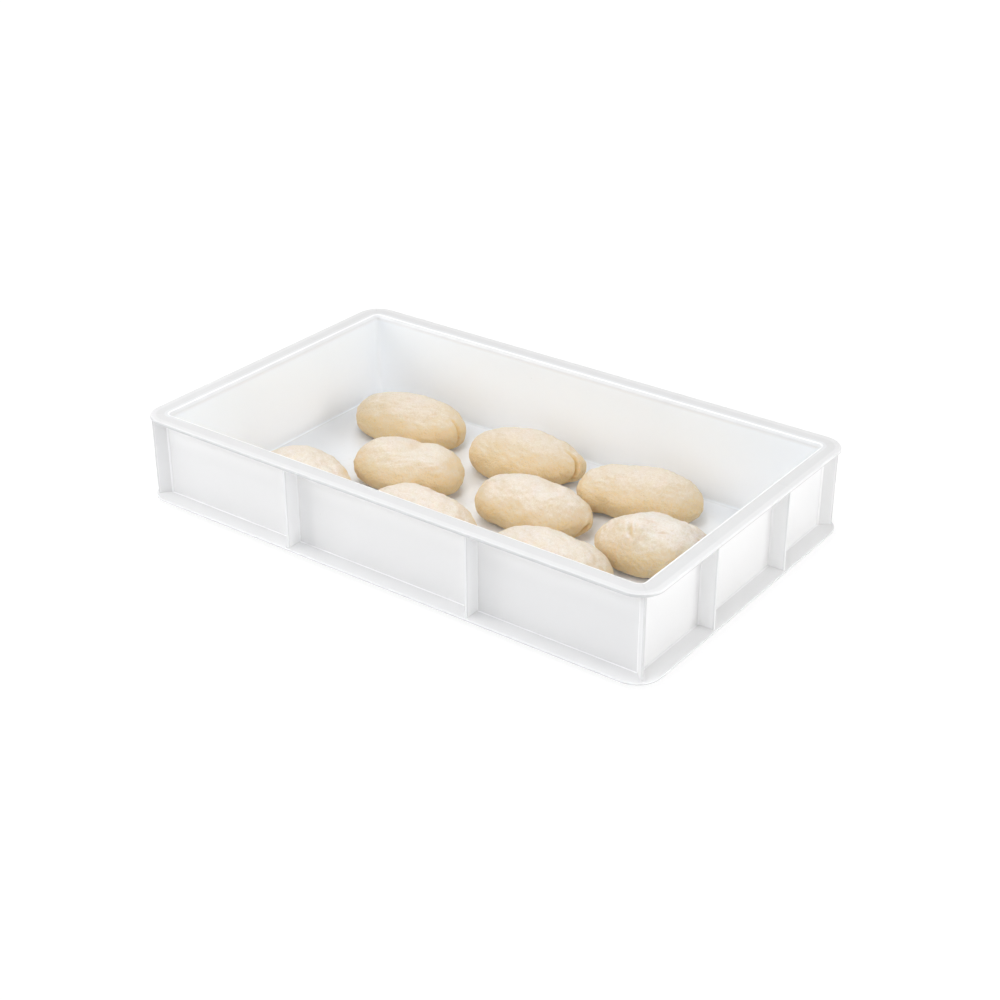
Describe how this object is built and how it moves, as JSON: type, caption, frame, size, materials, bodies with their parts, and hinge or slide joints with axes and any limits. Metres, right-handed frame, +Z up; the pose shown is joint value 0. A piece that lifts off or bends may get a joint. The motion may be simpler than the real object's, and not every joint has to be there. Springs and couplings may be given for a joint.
{
  "type": "dough proofing tray",
  "caption": "Shallow white stacking tray with a wide flat rim, outside fins, a base flange and a stacking foot, holding loose oval portions of proofing dough that lift out.",
  "frame": {"origin": "middle of the foot's underside, on the surface that the tray stands on", "axes": "+X along the tray's length, +Y across it from the front to the back, +Z up"},
  "size_m": [0.602, 0.367, 0.099],
  "materials": {
    "tray_plastic": "satin",
    "dough": "matte"
  },
  "bodies": {
    "tray": {"tray": "tray_plastic"},
    "dough_front_left": {"dough_front_left": "dough"},
    "dough_front_middle": {"dough_front_middle": "dough"},
    "dough_front_right": {"dough_front_right": "dough"},
    "dough_middle_left": {"dough_middle_left": "dough"},
    "dough_middle_centre": {"dough_middle_centre": "dough"},
    "dough_middle_right": {"dough_middle_right": "dough"},
    "dough_back_left": {"dough_back_left": "dough"},
    "dough_back_middle": {"dough_back_middle": "dough"},
    "dough_back_right": {"dough_back_right": "dough"}
  },
  "joints": [
    {"name": "lift_dough_front_left", "type": "slide", "parent": "tray", "child": "dough_front_left", "axis": [0, 0, 1], "range_m": [0, 0.11]},
    {"name": "lift_dough_front_middle", "type": "slide", "parent": "tray", "child": "dough_front_middle", "axis": [0, 0, 1], "range_m": [0, 0.11]},
    {"name": "lift_dough_front_right", "type": "slide", "parent": "tray", "child": "dough_front_right", "axis": [0, 0, 1], "range_m": [0, 0.11]},
    {"name": "lift_dough_middle_left", "type": "slide", "parent": "tray", "child": "dough_middle_left", "axis": [0, 0, 1], "range_m": [0, 0.11]},
    {"name": "lift_dough_middle_centre", "type": "slide", "parent": "tray", "child": "dough_middle_centre", "axis": [0, 0, 1], "range_m": [0, 0.11]},
    {"name": "lift_dough_middle_right", "type": "slide", "parent": "tray", "child": "dough_middle_right", "axis": [0, 0, 1], "range_m": [0, 0.11]},
    {"name": "lift_dough_back_left", "type": "slide", "parent": "tray", "child": "dough_back_left", "axis": [0, 0, 1], "range_m": [0, 0.11]},
    {"name": "lift_dough_back_middle", "type": "slide", "parent": "tray", "child": "dough_back_middle", "axis": [0, 0, 1], "range_m": [0, 0.11]},
    {"name": "lift_dough_back_right", "type": "slide", "parent": "tray", "child": "dough_back_right", "axis": [0, 0, 1], "range_m": [0, 0.11]}
  ]
}
